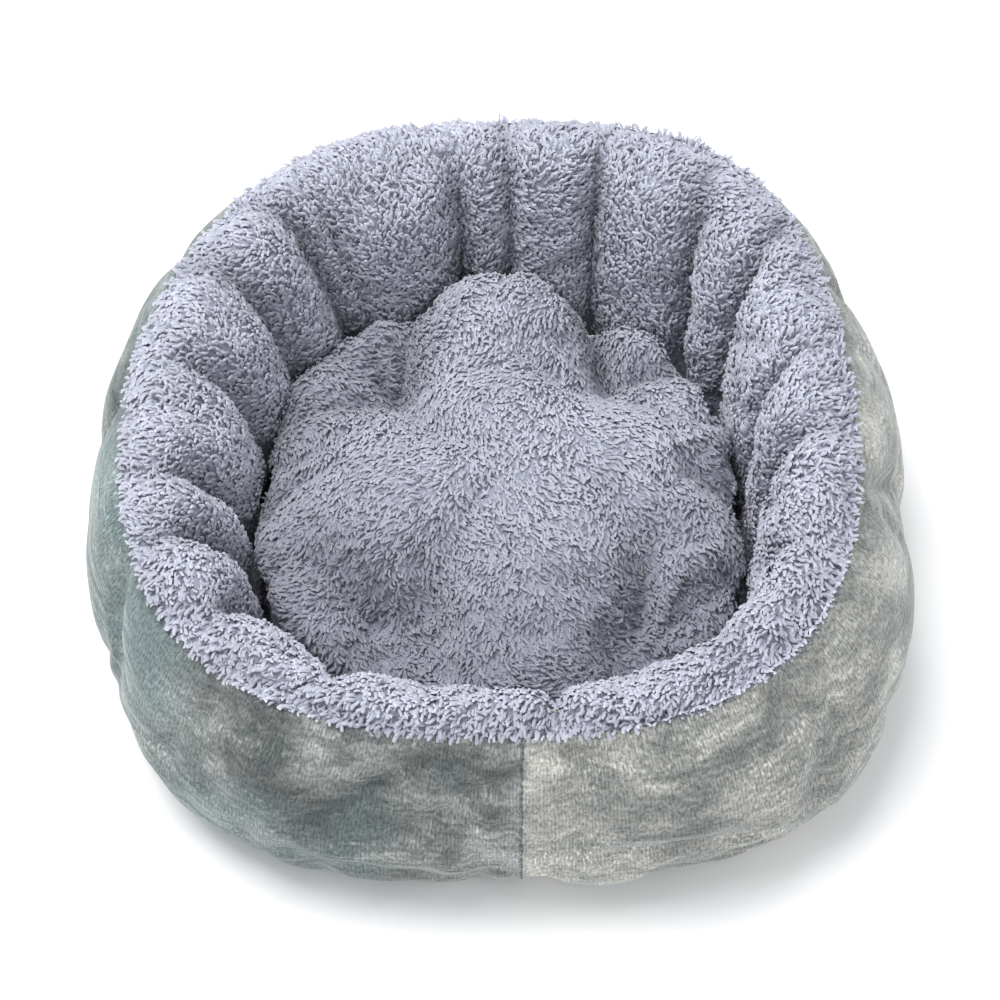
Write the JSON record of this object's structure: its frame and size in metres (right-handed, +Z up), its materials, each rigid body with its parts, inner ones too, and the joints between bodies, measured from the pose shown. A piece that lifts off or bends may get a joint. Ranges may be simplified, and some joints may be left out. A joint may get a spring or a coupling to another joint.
{
  "type": "pet cushion bed",
  "caption": "Round plush pet bed: velvet outer wall, fleecy sherpa inner wall rolled over a low-front rim, and a loose tacked sherpa cushion in the nest.",
  "frame": {"origin": "middle of the underside of the base cloth, on the floor", "axes": "+Z up, -Y towards the low front of the rim, +X to the right seen from the front"},
  "size_m": [0.4736, 0.466, 0.1904],
  "materials": {
    "velvet": "short-pile velvet, sheen",
    "sherpa": "curly sherpa fleece pile, matt",
    "lining_cloth": "plain woven polyester lining, matt",
    "base_cloth": "plain woven base cloth with non-slip dots, matt",
    "fibre": "hollow polyester fibre, matt",
    "thread": "twisted polyester sewing thread"
  },
  "bodies": {
    "bed": {"base_cloth": "base_cloth", "base_wadding": "fibre", "floor_lining": "lining_cloth", "base_seam_thread": "thread", "floor_seam_thread": "thread", "outer_panel_left": "velvet", "outer_panel_right": "velvet", "wall_lining_left": "sherpa", "wall_lining_right": "sherpa", "wall_filling": "fibre", "rim_seam_thread": "thread", "front_panel_seam": "thread", "back_panel_seam": "thread", "front_lining_seam": "thread", "back_lining_seam": "thread"},
    "pad": {"pad_top_cover": "sherpa", "pad_bottom_cover": "lining_cloth", "pad_filling": "fibre", "pad_edge_thread": "thread", "pad_tack_1": "thread", "pad_tack_2": "thread", "pad_tack_3": "thread", "pad_tack_4": "thread"}
  },
  "joints": [
    {"name": "pad_lift", "type": "slide", "parent": "bed", "child": "pad", "axis": [0, 0, 1], "range_m": [0, 0.28]}
  ]
}
